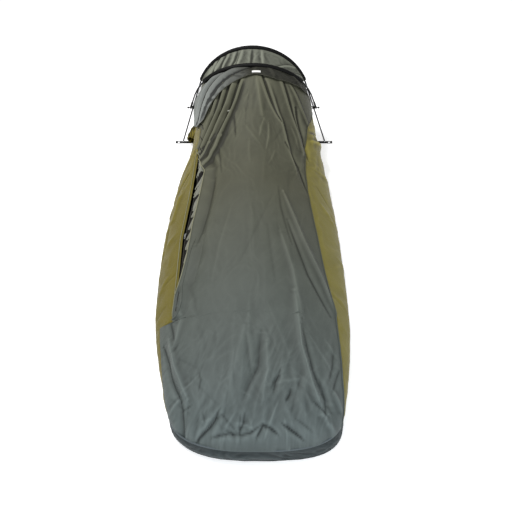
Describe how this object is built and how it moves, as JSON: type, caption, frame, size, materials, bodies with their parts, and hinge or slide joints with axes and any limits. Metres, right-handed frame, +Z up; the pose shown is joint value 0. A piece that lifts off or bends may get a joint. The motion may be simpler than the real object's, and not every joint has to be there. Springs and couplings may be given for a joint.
{
  "type": "hooped bivy sack",
  "caption": "One-person shelter bag with a low tapered body and a head end held up by arches, a hinged brow arch with an awning, and a side zip door.",
  "frame": {"origin": "middle of the footprint, on the ground", "axes": "+Y towards the head end, +Z up, +X to the left of a sleeper on their back"},
  "size_m": [0.9706, 2.25, 0.6064],
  "materials": {
    "grey_cloth": "coated ripstop, slight sheen",
    "olive_cloth": "coated ripstop, slight sheen",
    "tub_cloth": "coated taffeta",
    "black_cloth": "woven, matt",
    "netting": "fine net",
    "webbing": "woven webbing",
    "pole_alloy": "anodised tube",
    "black_plastic": "moulded",
    "zip_metal": "plated",
    "pale_trim": "woven"
  },
  "bodies": {
    "bag": {"groundsheet": "tub_cloth", "side_wall_left": "olive_cloth", "side_wall_right": "olive_cloth", "top_cover": "grey_cloth", "foot_panel": "tub_cloth", "head_wall": "grey_cloth", "hood_canopy": "grey_cloth", "hood_side_left": "grey_cloth", "hood_side_right": "grey_cloth", "net_door": "netting", "left_zip_tape": "black_cloth", "left_zip_coil": "black_plastic", "tie_tape": "webbing", "tie_toggle": "pale_trim", "main_pole_section_1": "pole_alloy", "main_pole_section_2": "pole_alloy", "main_pole_section_3": "pole_alloy", "main_pole_section_4": "pole_alloy", "main_ferrule_1": "pole_alloy", "main_ferrule_2": "pole_alloy", "main_ferrule_3": "pole_alloy", "main_sleeve": "black_cloth", "hub_clip_left": "black_plastic", "corner_strap_left": "webbing", "eyelet_plate_left": "zip_metal", "pole_tip_left": "zip_metal", "hook_tab_left": "webbing", "hub_clip_right": "black_plastic", "corner_strap_right": "webbing", "eyelet_plate_right": "zip_metal", "pole_tip_right": "zip_metal", "hook_tab_right": "webbing"},
    "brow_hoop": {"brow_pole_section_1": "pole_alloy", "brow_pole_section_2": "pole_alloy", "brow_pole_section_3": "pole_alloy", "brow_ferrule_1": "pole_alloy", "brow_ferrule_2": "pole_alloy", "brow_sleeve": "black_cloth", "brow_eye_left": "black_plastic", "brow_eye_right": "black_plastic", "awning": "grey_cloth", "label_tab": "pale_trim", "brow_zip_tape": "black_cloth", "brow_zip_coil": "black_plastic", "brow_zip_slider": "black_plastic"},
    "zip_slider": {"zip_slider": "zip_metal"},
    "zip_pull": {"zip_pull": "zip_metal"},
    "peg_loop_left": {"peg_loop_left": "webbing"},
    "peg_loop_right": {"peg_loop_right": "webbing"}
  },
  "joints": [
    {"name": "brow_pivot", "type": "hinge", "parent": "bag", "child": "brow_hoop", "pos_m": [0, 0.85, 0.24], "axis": [-1, 0, 0], "range_deg": [0, 10], "deforming": ["top_cover", "hood_canopy", "net_door", "hood_side_left", "hood_side_right", "left_zip_tape", "left_zip_coil", "tie_tape", "tie_toggle"]},
    {"name": "zip_slide", "type": "slide", "parent": "bag", "child": "zip_slider", "axis": [-0.062, -0.9882, -0.14], "range_m": [-0.12, 0.12]},
    {"name": "zip_pull_hinge", "type": "hinge", "parent": "zip_slider", "child": "zip_pull", "pos_m": [-0.31639, -0.15063, 0.16916], "axis": [-0.837, 0.1301, -0.5315], "range_deg": [0, 160]},
    {"name": "peg_loop_left_hinge", "type": "hinge", "parent": "bag", "child": "peg_loop_left", "pos_m": [-0.4526, 0.85, 0.0015], "axis": [0, 1, 0], "range_deg": [0, 75]},
    {"name": "peg_loop_right_hinge", "type": "hinge", "parent": "bag", "child": "peg_loop_right", "pos_m": [0.4526, 0.85, 0.0015], "axis": [0, -1, 0], "range_deg": [0, 75]}
  ]
}
